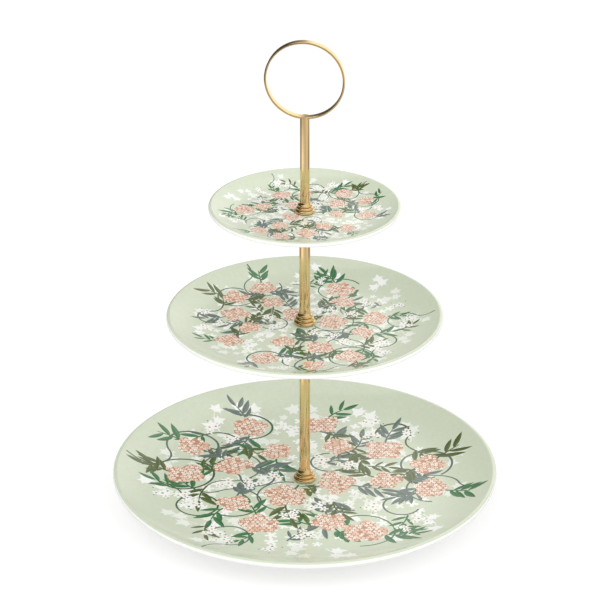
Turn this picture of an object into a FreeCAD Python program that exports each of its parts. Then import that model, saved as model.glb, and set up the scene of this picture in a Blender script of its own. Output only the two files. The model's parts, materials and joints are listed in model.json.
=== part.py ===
import FreeCAD
import Part
import math
import os
import Sketcher

# Three-tier cake stand: three coupe plates carried on a screwed-together column with a
# ring handle.  Millimetres, +Z up.  The origin is on the column's axis, on the plane the
# bottom plate's foot ring stands on.  Every piece is turned about the column's axis, so
# each one is a half outline in its own XZ plane, revolved, and stacked on the piece below.

# name, size in mm, what it is
SIZES = (
    ("BottomPlateDia", 270.0, "bottom plate, over the rim"),
    ("MiddlePlateDia", 190.0, "middle plate, over the rim"),
    ("TopPlateDia", 130.0, "top plate, over the rim"),
    ("BottomWall", 4.2, "bottom plate's thickness"),
    ("MiddleWall", 3.8, "middle plate's thickness"),
    ("TopWall", 3.4, "top plate's thickness"),
    ("BottomDepth", 11.5, "bottom plate, floor to rim"),
    ("MiddleDepth", 8.5, "middle plate, floor to rim"),
    ("TopDepth", 6.0, "top plate, floor to rim"),
    ("BottomFloorDia", 168.0, "flat floor of the bottom plate"),
    ("MiddleFloorDia", 114.0, "flat floor of the middle plate"),
    ("TopFloorDia", 76.0, "flat floor of the top plate"),
    ("BottomFootInset", 8.0, "middle of its foot ring, inside its floor's edge"),
    ("MiddleFootInset", 6.0, "middle of its foot ring, inside its floor's edge"),
    ("TopFootInset", 5.0, "middle of its foot ring, inside its floor's edge"),
    ("BottomFootHeight", 6.0, "bottom plate's foot ring below its underside"),
    ("MiddleFootHeight", 2.6, "middle plate's foot ring below its underside"),
    ("TopFootHeight", 2.2, "top plate's foot ring below its underside"),
    ("FootWidth", 5.0, "foot rings at their root"),
    ("FootTaper", 0.9, "foot rings narrow by this much on each side"),
    ("FootRound", 0.8, "rounding of the foot rings' edges"),
    ("HoleGap", 1.5, "clearance of the thread in the hole drilled through each plate"),
    ("HoleRound", 0.5, "glazed edge of that hole"),
    ("ColumnDia", 7.4, "lower and upper column tubes, outside"),
    ("BushWall", 0.6, "metal around the plain hole in the fittings that fill those tubes"),
    ("HandleDia", 6.4, "handle tube, outside"),
    ("HandleWall", 0.8, "its wall"),
    ("LowerTubeLength", 107.0, "lower column's tube"),
    ("UpperTubeLength", 68.0, "upper column's tube"),
    ("HandleTubeLength", 58.5, "handle's tube"),
    ("LowerBellDia", 16.0, "stepped bell on the bottom plate"),
    ("MiddleBellDia", 15.0, "stepped bell on the middle plate"),
    ("HandleBellDia", 13.4, "stepped bell on the top plate"),
    ("LowerBellHeight", 9.0, "its height"),
    ("MiddleBellHeight", 9.0, "its height"),
    ("HandleBellHeight", 8.0, "its height"),
    ("NeckHeight", 2.1, "flared neck of each bell, above its rings"),
    ("NeckLip", 0.2, "neck's top stands this far outside its tube"),
    ("NeckFlare", 1.0, "neck's foot stands this far outside its tube"),
    ("NeckSweep", 2.6, "radius of the neck's hollow curve"),
    ("RingBulge", 0.7, "how far each ring of a bell bulges"),
    ("TopRingStep", 1.6, "a bell's top ring stands this far outside its tube"),
    ("FlangeStep", 1.4, "flange of a foot fitting stands this far outside its stem"),
    ("FlangeThick", 1.2, "its thickness"),
    ("FlangeSink", 0.1, "it lies this far above the bell's foot"),
    ("RecessGap", 0.2, "clearance around and over the flange"),
    ("StemGap", 0.1, "clearance of a fitting's stem in its bell"),
    ("ThreadDia", 4.0, "M4 thread over its crests"),
    ("ThreadGap", 0.05, "clearance around the thread in its female part"),
    ("PlainGap", 0.2, "clearance around the thread in washers, gaskets and bores"),
    ("ThreadEngage", 7.0, "thread held, ten turns of 0.7 mm"),
    ("ThreadRunout", 2.0, "female thread goes on past the stud's end"),
    ("SpigotLength", 9.0, "a foot stud's spigot pressed into its tube"),
    ("BoltLength", 25.0, "base bolt under its head"),
    ("BoltHeadDia", 7.6, "button head"),
    ("BoltHeadHeight", 2.2, "button head"),
    ("BoltHeadEdge", 0.4, "straight edge of the button head"),
    ("SocketWidth", 2.5, "hexagon socket across its flats"),
    ("SocketDepth", 1.3, "its depth"),
    ("BaseWasherDia", 12.0, "washer under the bottom plate"),
    ("BaseWasherThick", 1.0, "its thickness"),
    ("BaseGasketDia", 14.0, "rubber gasket between that washer and the plate"),
    ("UnderGasketDia", 18.0, "rubber gaskets under the middle and top plates"),
    ("UnderGasketThick", 0.8, "rubber gaskets under the plates"),
    ("SupportDia", 18.0, "support washers that carry the two upper plates"),
    ("SupportThick", 1.5, "their thickness"),
    ("SeatGasketInset", 0.8, "gasket under a bell is smaller by this all round"),
    ("SeatGasketThick", 0.5, "its thickness"),
    ("EdgeBreak", 0.25, "broken edges of the washers"),
    ("PlugLength", 8.0, "handle plug's spigot in its tube"),
    ("SaddleFloor", 1.0, "metal of the plug under the hoop"),
    ("HoopDia", 54.0, "hoop handle, outside"),
    ("HoopThick", 1.5, "hoop's band, measured outwards"),
    ("HoopWidth", 5.0, "hoop's band, measured along its axis"),
    ("HoopRound", 0.5, "rounding of the band's edges"),
)

BELL_RINGS = 3
FULL_TURN = 360.0
ORIGIN_POINT = (-1, 1)
H_AXIS = -1
V_AXIS = -2

doc = FreeCAD.newDocument("CakeStand")
sheet = doc.addObject("Spreadsheet::Sheet", "Sizes")
for row, (alias, size, meaning) in enumerate(SIZES, start=1):
    sheet.set(f"A{row}", str(size))
    sheet.set(f"B{row}", meaning)
    sheet.setAlias(f"A{row}", alias)
doc.recompute()

nodes = []


def value(formula):
    """The number that a formula in the sheet's names comes to."""
    return float(sheet.evalExpression(str(formula)))


def cell(name):
    return f"Sizes.{name}"


def half(formula):
    return f"({formula}) / 2"


# ---------------------------------------------------------------- sketches and bodies

def new_body(label):
    body = doc.addObject("PartDesign::Body", label)
    body.Label = label
    nodes.append(body)
    return body


def new_sketch(body, name, plane):
    sketch = body.newObject("Sketcher::SketchObject", name)
    role = [feature for feature in body.Origin.OriginFeatures if feature.Role == plane]
    sketch.AttachmentSupport = [(role[0], "")]
    sketch.MapMode = "FlatFace"
    return sketch


def bind(sketch, kind, *where, formula):
    """Add a dimension to a sketch and tie it to a formula."""
    index = sketch.addConstraint(Sketcher.Constraint(kind, *where, value(formula)))
    sketch.setExpression(f"Constraints[{index}]", str(formula))


def pin_point(sketch, geometry, end, point):
    """Fix a point of the sketch: on an axis where its formula is 0, else by distance."""
    for kind, formula, axis in zip(("DistanceX", "DistanceY"), point, (V_AXIS, H_AXIS)):
        if formula == 0:
            sketch.addConstraint(Sketcher.Constraint("PointOnObject", geometry, end, axis))
        else:
            bind(sketch, kind, geometry, end, formula=formula)


def arc_between(start, end, radius, turn):
    """Arc from start to end, turning left or right, no more than a half turn long."""
    middle = (start + end) * 0.5
    chord = end - start
    reach = math.sqrt(max(radius ** 2 - (chord.Length / 2) ** 2, 0.0))
    left = FreeCAD.Vector(-chord.y, chord.x, 0).normalize()
    centre = middle + left * (reach if turn == "left" else -reach)
    first, last = (start, end) if turn == "left" else (end, start)
    angles = [math.atan2(p.y - centre.y, p.x - centre.x) for p in (first, last)]
    circle = Part.Circle(centre, FreeCAD.Vector(0, 0, 1), radius)
    return Part.ArcOfCircle(circle, *angles)


def draw_outline(sketch, outline):
    """Closed outline of (x, y) or (x, y, turn, radius) corners.

    A corner with a turn and a radius starts an arc to the next corner, and any other
    starts a straight line.
    """
    corners = [FreeCAD.Vector(value(c[0]), value(c[1]), 0) for c in outline]
    ends = []
    for index, corner in enumerate(outline):
        start = corners[index]
        end = corners[(index + 1) % len(corners)]
        if len(corner) == 2:
            geometry = sketch.addGeometry(Part.LineSegment(start, end))
            ends.append((1, 2))
        else:
            turn, radius = corner[2:]
            geometry = sketch.addGeometry(arc_between(start, end, value(radius), turn))
            ends.append((1, 2) if turn == "left" else (2, 1))
    for index, corner in enumerate(outline):
        following = (index + 1) % len(outline)
        sketch.addConstraint(Sketcher.Constraint(
            "Coincident", index, ends[index][1], following, ends[following][0]))
        pin_point(sketch, index, ends[index][0], corner[:2])
        if len(corner) > 2:
            bind(sketch, "Radius", index, formula=corner[3])


def draw_hexagon(sketch, width):
    """Regular hexagon of a given width across its flats, about the sketch's origin."""
    corner_radius = f"({width}) / sqrt(3)"
    radius = value(corner_radius)
    turns = [math.radians(60 * side) for side in range(7)]
    points = [FreeCAD.Vector(radius * math.cos(a), radius * math.sin(a), 0) for a in turns]
    for side in range(6):
        sketch.addGeometry(Part.LineSegment(points[side], points[side + 1]))
    circle = Part.Circle(FreeCAD.Vector(0, 0, 0), FreeCAD.Vector(0, 0, 1), radius)
    rim = sketch.addGeometry(circle, True)
    sketch.addConstraint(Sketcher.Constraint("Coincident", rim, 3, *ORIGIN_POINT))
    bind(sketch, "Radius", rim, formula=corner_radius)
    for side in range(6):
        sketch.addConstraint(Sketcher.Constraint("Coincident", side, 2, (side + 1) % 6, 1))
        sketch.addConstraint(Sketcher.Constraint("PointOnObject", side, 1, rim))
        if side:
            sketch.addConstraint(Sketcher.Constraint("Equal", 0, side))
    sketch.addConstraint(Sketcher.Constraint("PointOnObject", 0, 1, H_AXIS))


def turned(label, outline, plane="XZ_Plane"):
    """Body made by revolving a half outline about the sketch's vertical axis."""
    body = new_body(label)
    sketch = new_sketch(body, f"{label}_outline", plane)
    draw_outline(sketch, outline)
    solid = body.newObject("PartDesign::Revolution", f"{label}_turned")
    solid.Profile = sketch
    solid.ReferenceAxis = (sketch, ["V_Axis"])
    solid.Angle = FULL_TURN
    doc.recompute()
    return body


def soften(body, corners, formula):
    """Round the circular edges that the outline's corners make."""
    before = body.Tip
    outline = [item for item in body.Group if item.TypeId == "Sketcher::SketchObject"][0]
    turning_axis = outline.Placement.Rotation.multVec(FreeCAD.Vector(0, 1, 0))
    targets = [(value(x), value(y)) for x, y in corners]
    names = []
    for number, edge in enumerate(before.Shape.Edges, start=1):
        if not isinstance(edge.Curve, Part.Circle):
            continue
        height = edge.Curve.Center.dot(turning_axis)
        for radius, level in targets:
            if abs(edge.Curve.Radius - radius) < 1e-4 and abs(height - level) < 1e-4:
                names.append(f"Edge{number}")
    if len(names) != len(corners):
        raise RuntimeError(f"{body.Label}: {len(names)} of {len(corners)} edges found")
    fillet = body.newObject("PartDesign::Fillet", f"{body.Name}_edges_{len(body.Group)}")
    fillet.Base = (before, names)
    fillet.setExpression("Radius", formula)
    doc.recompute()


def stand_on(body, level):
    """Put a body's own zero plane at a height, given as a formula."""
    body.setExpression("Placement.Base.z", level)


# ---------------------------------------------------------------- heights of the stack

def add(*terms):
    return " + ".join(f"({term})" for term in terms)


def less(first, *terms):
    return " - ".join(f"({term})" for term in (first,) + terms)


LEVEL = {"BottomUnder": cell("BottomFootHeight")}
LEVEL["BaseGasket"] = less(LEVEL["BottomUnder"], cell("UnderGasketThick"))
LEVEL["BaseWasher"] = less(LEVEL["BaseGasket"], cell("BaseWasherThick"))
LEVEL["BaseBolt"] = less(LEVEL["BaseWasher"], cell("BoltHeadHeight"))
LEVEL["BottomFloor"] = add(LEVEL["BottomUnder"], cell("BottomWall"))
LEVEL["LowerBell"] = add(LEVEL["BottomFloor"], cell("SeatGasketThick"))
LEVEL["LowerTube"] = add(LEVEL["LowerBell"], cell("LowerBellHeight"))
LEVEL["MiddleSupport"] = add(LEVEL["LowerTube"], cell("LowerTubeLength"))
LEVEL["MiddleGasket"] = add(LEVEL["MiddleSupport"], cell("SupportThick"))
LEVEL["MiddleUnder"] = add(LEVEL["MiddleGasket"], cell("UnderGasketThick"))
LEVEL["MiddleFloor"] = add(LEVEL["MiddleUnder"], cell("MiddleWall"))
LEVEL["MiddleBell"] = add(LEVEL["MiddleFloor"], cell("SeatGasketThick"))
LEVEL["UpperTube"] = add(LEVEL["MiddleBell"], cell("MiddleBellHeight"))
LEVEL["TopSupport"] = add(LEVEL["UpperTube"], cell("UpperTubeLength"))
LEVEL["TopGasket"] = add(LEVEL["TopSupport"], cell("SupportThick"))
LEVEL["TopUnder"] = add(LEVEL["TopGasket"], cell("UnderGasketThick"))
LEVEL["TopFloor"] = add(LEVEL["TopUnder"], cell("TopWall"))
LEVEL["HandleBell"] = add(LEVEL["TopFloor"], cell("SeatGasketThick"))
LEVEL["HandleTube"] = add(LEVEL["HandleBell"], cell("HandleBellHeight"))
LEVEL["Plug"] = add(LEVEL["HandleTube"], cell("HandleTubeLength"))
LEVEL["HoopFoot"] = add(LEVEL["Plug"], cell("SaddleFloor"))
LEVEL["HoopCentre"] = add(LEVEL["HoopFoot"], half(cell("HoopDia")))


# ---------------------------------------------------------------- plates

def make_plate(tier):
    """Coupe plate: flat floor, one sweep up to a round rim, a foot ring, a hole.

    The wall's middle surface is flat and then an arc, tangent to the flat, whose far end
    carries the rim's half circle; both faces are that surface moved by half the wall.
    """
    wall = cell(f"{tier}Wall")
    depth = cell(f"{tier}Depth")
    foot = cell(f"{tier}FootHeight")
    hole = add(half(cell("ThreadDia")), cell("HoleGap"))
    floor_edge = half(cell(f"{tier}FloorDia"))
    foot_middle = less(floor_edge, cell(f"{tier}FootInset"))
    foot_root = half(cell("FootWidth"))
    foot_tip = less(foot_root, cell("FootTaper"))
    centre_line = add(foot, half(wall))
    floor = add(foot, wall)
    rim = less(half(cell(f"{tier}PlateDia")), half(wall))
    rim_level = add(centre_line, depth)
    run = less(rim, floor_edge)
    sweep = f"(({run})^2 + ({depth})^2) / (2 * ({depth}))"
    lean_in = f"({run}) / ({sweep}) * ({half(wall)})"
    lean_up = f"(1 - ({depth}) / ({sweep})) * ({half(wall)})"
    body = turned(f"{tier.lower()}_plate", (
        (hole, floor),
        (floor_edge, floor, "left", less(sweep, half(wall))),
        (less(rim, lean_in), add(rim_level, lean_up), "right", half(wall)),
        (add(rim, lean_up), add(rim_level, lean_in), "right", half(wall)),
        (add(rim, lean_in), less(rim_level, lean_up), "right", add(sweep, half(wall))),
        (floor_edge, foot),
        (add(foot_middle, foot_root), foot),
        (add(foot_middle, foot_tip), 0),
        (less(foot_middle, foot_tip), 0),
        (less(foot_middle, foot_root), foot),
        (hole, foot),
    ))
    soften(body, (
        (add(foot_middle, foot_root), foot),
        (add(foot_middle, foot_tip), 0),
        (less(foot_middle, foot_tip), 0),
        (less(foot_middle, foot_root), foot),
    ), cell("FootRound"))
    soften(body, ((hole, floor), (hole, foot)), cell("HoleRound"))
    return body


# ---------------------------------------------------------------- rings and washers

def plain_bore():
    """Radius of the plain hole that the thread passes through in a washer or a gasket."""
    return add(half(cell("ThreadDia")), cell("PlainGap"))


def make_disc(label, outer, thick, edge=None):
    """Flat ring around the thread, with its outer edges broken if an edge size is given."""
    body = turned(label, (
        (plain_bore(), 0),
        (half(outer), 0),
        (half(outer), thick),
        (plain_bore(), thick),
    ))
    if edge:
        soften(body, ((half(outer), 0), (half(outer), thick)), edge)
    return body


# ---------------------------------------------------------------- columns

def tube_sizes(column):
    """Outside and inside radius of a column's tube; its fittings fill its inside."""
    if column == "Handle":
        outer = half(cell("HandleDia"))
        return outer, less(outer, cell("HandleWall"))
    return half(cell("ColumnDia")), add(plain_bore(), cell("BushWall"))


def make_tube(column):
    outer, inner = tube_sizes(column)
    length = cell(f"{column}TubeLength")
    return turned(f"{column.lower()}_tube", (
        (inner, 0),
        (outer, 0),
        (outer, length),
        (inner, length),
    ))


def make_bell(label, bell, column):
    """Stepped bell: three bulging rings, each narrower, under a flared neck.

    It is bored for its fitting's stem and recessed below for the fitting's flange.
    """
    outer, inner = tube_sizes(column)
    base = half(cell(f"{bell}BellDia"))
    height = cell(f"{bell}BellHeight")
    bulge = cell("RingBulge")
    ring_height = f"(({height}) - {cell('NeckHeight')}) / {BELL_RINGS}"
    top_ring = add(outer, cell("TopRingStep"))
    step = f"(({base}) - ({top_ring})) / {BELL_RINGS - 1}"
    ring_radius = f"((({ring_height}) / 2)^2 + ({bulge})^2) / (2 * ({bulge}))"
    recess = add(inner, cell("FlangeStep"), cell("RecessGap"))
    recess_top = add(cell("FlangeSink"), cell("FlangeThick"), cell("RecessGap"))
    bore = add(inner, cell("StemGap"))
    outline = [(bore, recess_top), (recess, recess_top), (recess, 0)]
    for ring in range(BELL_RINGS):
        root = less(base, f"{ring} * ({step})", bulge)
        low = f"{ring} * ({ring_height})" if ring else 0
        outline.append((root, low, "left", ring_radius))
        outline.append((root, f"{ring + 1} * ({ring_height})"))
    neck_foot = less(height, cell("NeckHeight"))
    outline.append((add(outer, cell("NeckFlare")), neck_foot, "right", cell("NeckSweep")))
    outline.append((add(outer, cell("NeckLip")), height))
    outline.append((bore, height))
    return turned(label, without_repeats(outline))


def without_repeats(outline):
    """Drop a corner that lies on the one before it; the earlier one's line ends there."""
    kept = []
    for corner in outline:
        if kept:
            across = value(corner[0]) - value(kept[-1][0])
            up = value(corner[1]) - value(kept[-1][1])
            if math.hypot(across, up) < 1e-6:
                kept[-1] = corner
                continue
        kept.append(corner)
    return kept


def make_foot_insert():
    """Lower column's female fitting: flange in the bell, stem, threaded spigot in the tube.

    It reaches up to the base bolt's end, and only its last stretch is threaded.
    """
    inner = tube_sizes("Lower")[1]
    flange = add(inner, cell("FlangeStep"))
    length = less(cell("BoltLength"), cell("SeatGasketThick"), cell("BottomWall"),
                  cell("UnderGasketThick"), cell("BaseWasherThick"), cell("FlangeSink"))
    thread = add(half(cell("ThreadDia")), cell("ThreadGap"))
    thread_start = less(length, cell("ThreadEngage"))
    return turned("lower_foot_insert", (
        (plain_bore(), 0),
        (flange, 0),
        (flange, cell("FlangeThick")),
        (inner, cell("FlangeThick")),
        (inner, length),
        (thread, length),
        (thread, thread_start),
        (plain_bore(), thread_start),
    ))


def make_foot_stud(label, column, plate, bell):
    """Male fitting: threaded stud down through a plate, flange in the bell, spigot up."""
    inner = tube_sizes(column)[1]
    flange = add(inner, cell("FlangeStep"))
    bell_foot = add(cell("ThreadEngage"), cell("SupportThick"), cell("UnderGasketThick"),
                    cell(f"{plate}Wall"), cell("SeatGasketThick"))
    flange_foot = add(bell_foot, cell("FlangeSink"))
    flange_top = add(flange_foot, cell("FlangeThick"))
    spigot_top = add(bell_foot, cell(f"{bell}BellHeight"), cell("SpigotLength"))
    thread = half(cell("ThreadDia"))
    return turned(label, (
        (0, 0),
        (less(thread, cell("EdgeBreak")), 0),
        (thread, cell("EdgeBreak")),
        (thread, flange_foot),
        (flange, flange_foot),
        (flange, flange_top),
        (inner, flange_top),
        (inner, spigot_top),
        (0, spigot_top),
    ))


def make_head_insert(column):
    """Threaded bush pressed flush into the top of a column's tube."""
    inner = tube_sizes(column)[1]
    thread = add(half(cell("ThreadDia")), cell("ThreadGap"))
    length = add(cell("ThreadEngage"), cell("ThreadRunout"))
    return turned(f"{column.lower()}_head_insert", (
        (thread, 0),
        (inner, 0),
        (inner, length),
        (thread, length),
    ))


# ---------------------------------------------------------------- bolt, plug and hoop

def make_bolt():
    """Button-head machine screw, head down, with a hexagon socket."""
    head = half(cell("BoltHeadDia"))
    height = cell("BoltHeadHeight")
    edge = less(height, cell("BoltHeadEdge"))
    dome = f"(({head})^2 + ({edge})^2) / (2 * ({edge}))"
    thread = half(cell("ThreadDia"))
    end = add(height, cell("BoltLength"))
    body = turned("base_bolt", (
        (0, 0, "left", dome),
        (head, edge),
        (head, height),
        (thread, height),
        (thread, less(end, cell("EdgeBreak"))),
        (less(thread, cell("EdgeBreak")), end),
        (0, end),
    ))
    sketch = new_sketch(body, "socket_outline", "XY_Plane")
    draw_hexagon(sketch, cell("SocketWidth"))
    socket = body.newObject("PartDesign::Pocket", "socket")
    socket.Profile = sketch
    socket.setExpression("Length", cell("SocketDepth"))
    socket.Reversed = True
    doc.recompute()
    return body


def make_plug():
    """Handle tube's end plug, with a saddle cut across it that the hoop is brazed into."""
    outer, inner = tube_sizes("Handle")
    spigot = cell("PlugLength")
    top = add(spigot, cell("SaddleFloor"), cell("HoopThick"))
    body = turned("handle_plug", (
        (0, 0),
        (inner, 0),
        (inner, spigot),
        (outer, spigot),
        (outer, top),
        (0, top),
    ))
    sketch = new_sketch(body, "saddle_outline", "XZ_Plane")
    radius = half(cell("HoopDia"))
    centre = add(spigot, cell("SaddleFloor"), radius)
    middle = FreeCAD.Vector(0, value(centre), 0)
    circle = Part.Circle(middle, FreeCAD.Vector(0, 0, 1), value(radius))
    sketch.addGeometry(circle)
    sketch.addConstraint(Sketcher.Constraint("PointOnObject", 0, 3, V_AXIS))
    bind(sketch, "DistanceY", 0, 3, formula=centre)
    bind(sketch, "Radius", 0, formula=radius)
    saddle = body.newObject("PartDesign::Pocket", "saddle")
    saddle.Profile = sketch
    saddle.setExpression("Length", cell("HoopWidth"))
    saddle.Midplane = True
    doc.recompute()
    return body


def make_hoop():
    """Hoop handle: a flat band turned about the Y axis, with its edges rounded."""
    outer = half(cell("HoopDia"))
    inner = less(outer, cell("HoopThick"))
    side = half(cell("HoopWidth"))
    corners = (
        (inner, f"0 - ({side})"),
        (outer, f"0 - ({side})"),
        (outer, side),
        (inner, side),
    )
    body = turned("handle_ring", corners, plane="XY_Plane")
    soften(body, corners, cell("HoopRound"))
    return body


# ---------------------------------------------------------------- the assembly

def seat_gasket(label, bell):
    outer = less(cell(f"{bell}BellDia"), f"2 * {cell('SeatGasketInset')}")
    return make_disc(label, outer, cell("SeatGasketThick"))


def make_base():
    make_plate("Bottom")
    gasket = make_disc("base_gasket", cell("BaseGasketDia"), cell("UnderGasketThick"))
    stand_on(gasket, LEVEL["BaseGasket"])
    washer = make_disc("base_washer", cell("BaseWasherDia"), cell("BaseWasherThick"),
                       edge=cell("EdgeBreak"))
    stand_on(washer, LEVEL["BaseWasher"])
    stand_on(make_bolt(), LEVEL["BaseBolt"])
    stand_on(seat_gasket("lower_seat_gasket", "Lower"), LEVEL["BottomFloor"])


def make_support(plate):
    """What a column's top carries: a support washer and a rubber gasket."""
    support = make_disc(f"{plate.lower()}_support_washer", cell("SupportDia"),
                        cell("SupportThick"), edge=cell("EdgeBreak"))
    stand_on(support, LEVEL[f"{plate}Support"])
    gasket = make_disc(f"{plate.lower()}_under_gasket", cell("UnderGasketDia"),
                       cell("UnderGasketThick"))
    stand_on(gasket, LEVEL[f"{plate}Gasket"])


def make_column(column, bell):
    """Bell, tube and, but for the handle, the threaded bush in the tube's top."""
    stand_on(make_bell(f"{bell.lower()}_bell", bell, column), LEVEL[f"{bell}Bell"])
    stand_on(make_tube(column), LEVEL[f"{column}Tube"])
    if column != "Handle":
        tube_top = add(LEVEL[f"{column}Tube"], cell(f"{column}TubeLength"))
        bush = make_head_insert(column)
        stand_on(bush, less(tube_top, add(cell("ThreadEngage"), cell("ThreadRunout"))))


def make_tier(plate, bell):
    """A plate above a column, with the gasket that lies under the next bell."""
    body = make_plate(plate)
    stand_on(body, less(LEVEL[f"{plate}Under"], cell(f"{plate}FootHeight")))
    gasket = seat_gasket(f"{bell.lower()}_seat_gasket", bell)
    stand_on(gasket, LEVEL[f"{plate}Floor"])


make_base()
make_column("Lower", "Lower")
stand_on(make_foot_insert(), add(LEVEL["LowerBell"], cell("FlangeSink")))
make_support("Middle")
make_tier("Middle", "Middle")
make_column("Upper", "Middle")
upper_stud = make_foot_stud("upper_foot_stud", "Upper", "Middle", "Middle")
stand_on(upper_stud, less(LEVEL["MiddleSupport"], cell("ThreadEngage")))
make_support("Top")
make_tier("Top", "Handle")
make_column("Handle", "Handle")
handle_stud = make_foot_stud("handle_foot_stud", "Handle", "Top", "Handle")
stand_on(handle_stud, less(LEVEL["TopSupport"], cell("ThreadEngage")))
stand_on(make_plug(), less(LEVEL["Plug"], cell("PlugLength")))
stand_on(make_hoop(), LEVEL["HoopCentre"])
doc.recompute()

# ---------------------------------------------------------------- checks and export

for item in doc.Objects:
    if "Invalid" in item.State or "Error" in item.State:
        raise RuntimeError(f"{item.Label} failed: {item.State}")
    if item.isDerivedFrom("Sketcher::SketchObject") and item.solve() != 0:
        raise RuntimeError(f"{item.Label} is not solved")

for node in nodes:
    if node.Shape.isNull() or not node.Shape.isValid() or len(node.Shape.Solids) != 1:
        raise RuntimeError(f"{node.Label} is not one valid solid")

os.makedirs("parts", exist_ok=True)
for node in nodes:
    node.Shape.exportStep(f"parts/{node.Label}.step")
    print(f"{node.Label}: {node.Shape.Volume:.1f} mm3")
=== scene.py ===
"""Three-tier cake stand: printed porcelain plates on a screwed gold column, with studio and camera."""

import json
import math
import random

import bpy
import numpy as np
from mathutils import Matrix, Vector
from mathutils.geometry import delaunay_2d_cdt


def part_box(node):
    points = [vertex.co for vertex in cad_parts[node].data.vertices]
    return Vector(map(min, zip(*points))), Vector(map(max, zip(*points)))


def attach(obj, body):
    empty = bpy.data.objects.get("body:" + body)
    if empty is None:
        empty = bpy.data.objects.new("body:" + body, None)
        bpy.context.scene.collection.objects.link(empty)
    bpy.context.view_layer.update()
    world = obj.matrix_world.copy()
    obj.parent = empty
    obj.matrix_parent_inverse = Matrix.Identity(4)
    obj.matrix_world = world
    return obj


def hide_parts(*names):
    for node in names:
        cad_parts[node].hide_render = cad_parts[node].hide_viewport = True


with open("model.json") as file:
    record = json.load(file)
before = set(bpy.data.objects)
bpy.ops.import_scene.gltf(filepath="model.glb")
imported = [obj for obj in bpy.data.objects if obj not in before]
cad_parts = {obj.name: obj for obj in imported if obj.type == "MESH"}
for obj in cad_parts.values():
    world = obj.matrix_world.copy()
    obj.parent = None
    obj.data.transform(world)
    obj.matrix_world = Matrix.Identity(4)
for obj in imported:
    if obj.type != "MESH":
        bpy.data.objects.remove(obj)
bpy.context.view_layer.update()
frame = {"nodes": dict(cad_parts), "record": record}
SCENE = bpy.context.scene
MM = 0.001
TAU = 2 * math.pi

# ---------------------------------------------------------------- colours and materials


def linear(red, green, blue):
    """An sRGB colour of 0 to 255 as a linear RGBA tuple."""
    def decode(level):
        level /= 255
        return level / 12.92 if level <= 0.04045 else ((level + 0.055) / 1.055) ** 2.4
    return (decode(red), decode(green), decode(blue), 1.0)


def new_material(name, color, **settings):
    """A Principled material; settings name its sockets with _ for a space."""
    material = bpy.data.materials.new(name)
    material.use_nodes = True
    shader = material.node_tree.nodes["Principled BSDF"]
    shader.inputs["Base Color"].default_value = color
    for socket, number in settings.items():
        shader.inputs[socket.replace("_", " ")].default_value = number
    material.diffuse_color = color
    return material, material.node_tree, shader


def noise(tree, scale, detail=2.0, stretch=None):
    """Noise in the object's own coordinates, scale in features per metre."""
    place = tree.nodes.new("ShaderNodeTexCoord")
    texture = tree.nodes.new("ShaderNodeTexNoise")
    texture.inputs["Scale"].default_value = scale
    texture.inputs["Detail"].default_value = detail
    source = place.outputs["Object"]
    if stretch:
        mapping = tree.nodes.new("ShaderNodeMapping")
        mapping.inputs["Scale"].default_value = stretch
        tree.links.new(source, mapping.inputs["Vector"])
        source = mapping.outputs["Vector"]
    tree.links.new(source, texture.inputs["Vector"])
    return texture.outputs["Fac"]


# the part of a noise's range that most of its area lies in
NOISE_LOW = 0.3
NOISE_HIGH = 0.7

# heights of fine relief
GLAZE_RELIEF = 0.03 * MM
CLAY_RELIEF = 0.04 * MM
BRUSH_RELIEF = 0.0015 * MM

# lowest and highest roughness
GLAZE_GLOSS = (0.10, 0.17)
GOLD_GLOSS = (0.09, 0.15)
BRASS_GLOSS = (0.26, 0.38)
RUBBER_GLOSS = (0.3, 0.42)

# polishing marks are drawn out along the column
BRUSH = (1.0, 1.0, 0.04)


def vary_roughness(tree, shader, factor, low, high):
    """Roughness runs from low to high with factor."""
    span = tree.nodes.new("ShaderNodeMapRange")
    span.inputs["From Min"].default_value = NOISE_LOW
    span.inputs["From Max"].default_value = NOISE_HIGH
    span.inputs["To Min"].default_value = low
    span.inputs["To Max"].default_value = high
    tree.links.new(factor, span.inputs["Value"])
    tree.links.new(span.outputs["Result"], shader.inputs["Roughness"])


def vary_color(tree, shader, factor, first, second):
    """Base colour runs from first to second with factor."""
    ramp = tree.nodes.new("ShaderNodeValToRGB")
    ramp.color_ramp.elements[0].position = NOISE_LOW
    ramp.color_ramp.elements[1].position = NOISE_HIGH
    ramp.color_ramp.elements[0].color = first
    ramp.color_ramp.elements[1].color = second
    tree.links.new(factor, ramp.inputs["Fac"])
    tree.links.new(ramp.outputs["Color"], shader.inputs["Base Color"])


def add_bump(tree, shader, height, distance):
    """Fine relief, distance in metres."""
    bump = tree.nodes.new("ShaderNodeBump")
    bump.inputs["Strength"].default_value = 1.0
    bump.inputs["Distance"].default_value = distance
    tree.links.new(height, bump.inputs["Height"])
    tree.links.new(bump.outputs["Normal"], shader.inputs["Normal"])


def glaze(name, first, second=None):
    """Glossy ceramic glaze over a colour, or over two that run into each other."""
    material, tree, shader = new_material(name, first, IOR=1.5, Coat_Weight=0.25, Coat_Roughness=0.05)
    vary_roughness(tree, shader, noise(tree, 45.0), *GLAZE_GLOSS)
    add_bump(tree, shader, noise(tree, 160.0, 1.0), GLAZE_RELIEF)
    if second:
        vary_color(tree, shader, noise(tree, 320.0, 3.0), first, second)
    return material


def metal(name, first, second, gloss):
    """Plated or turned metal with faint polishing marks."""
    material, tree, shader = new_material(name, first, Metallic=1.0)
    vary_color(tree, shader, noise(tree, 260.0, 4.0, BRUSH), first, second)
    vary_roughness(tree, shader, noise(tree, 90.0, 5.0), *gloss)
    add_bump(tree, shader, noise(tree, 1400.0, 2.0, BRUSH), BRUSH_RELIEF)
    return material


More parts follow.
